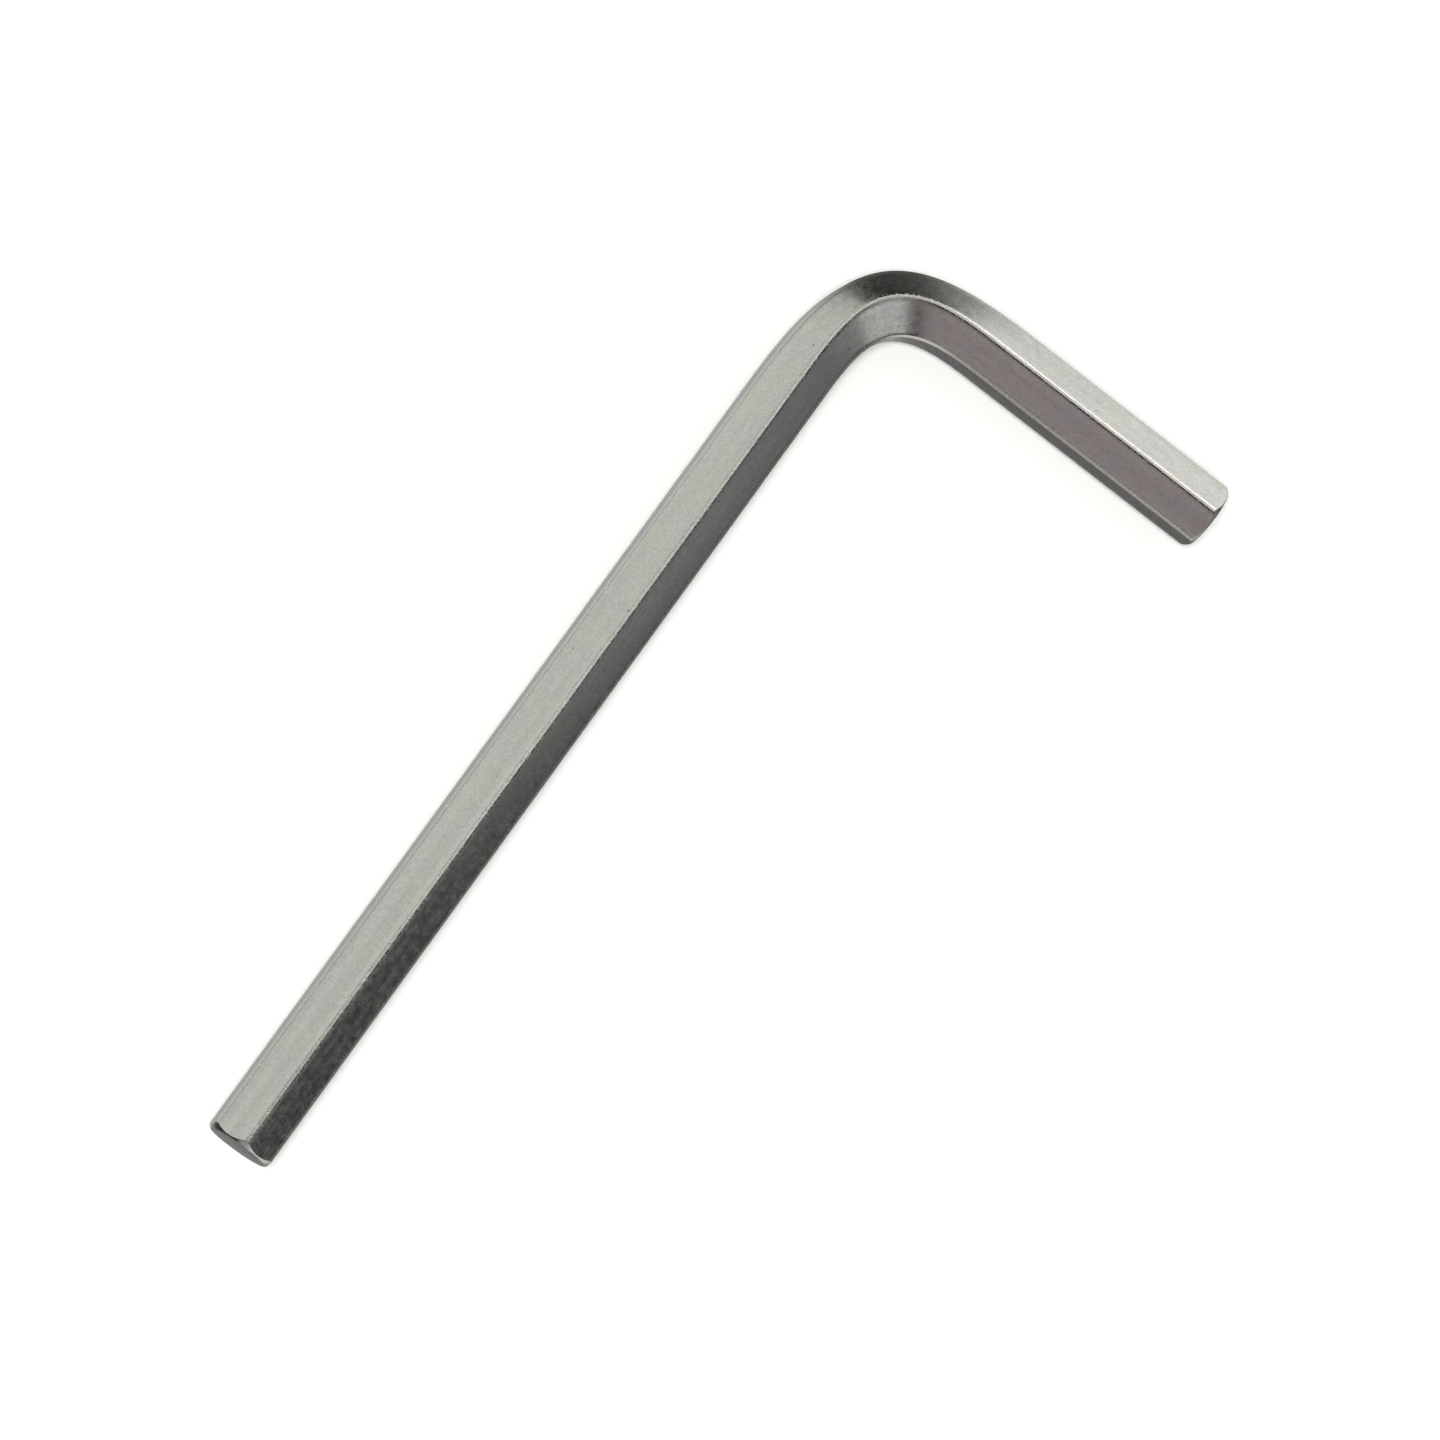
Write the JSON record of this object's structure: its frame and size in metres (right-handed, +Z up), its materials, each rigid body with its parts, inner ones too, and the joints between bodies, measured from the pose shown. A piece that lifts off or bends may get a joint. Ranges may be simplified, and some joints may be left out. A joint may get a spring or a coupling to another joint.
{
  "type": "hex key",
  "caption": "L-shaped hexagonal steel key with a long and a short arm, an eased right-angle bend and chamfered tips.",
  "frame": {"origin": "bottom centre of the key's box, on the surface that the key lies on", "axes": "+Y along the long arm towards the bend, +X along the short arm towards its tip, +Z up out of the plane of the two arms"},
  "size_m": [0.034, 0.084, 0.0056],
  "materials": {
    "nickel_plated_steel": "satin nickel plate over drawn steel bar, soft reflections with fine drawing lines along each flat"
  },
  "bodies": {
    "root": {"hex_key": "nickel_plated_steel"}
  },
  "joints": []
}
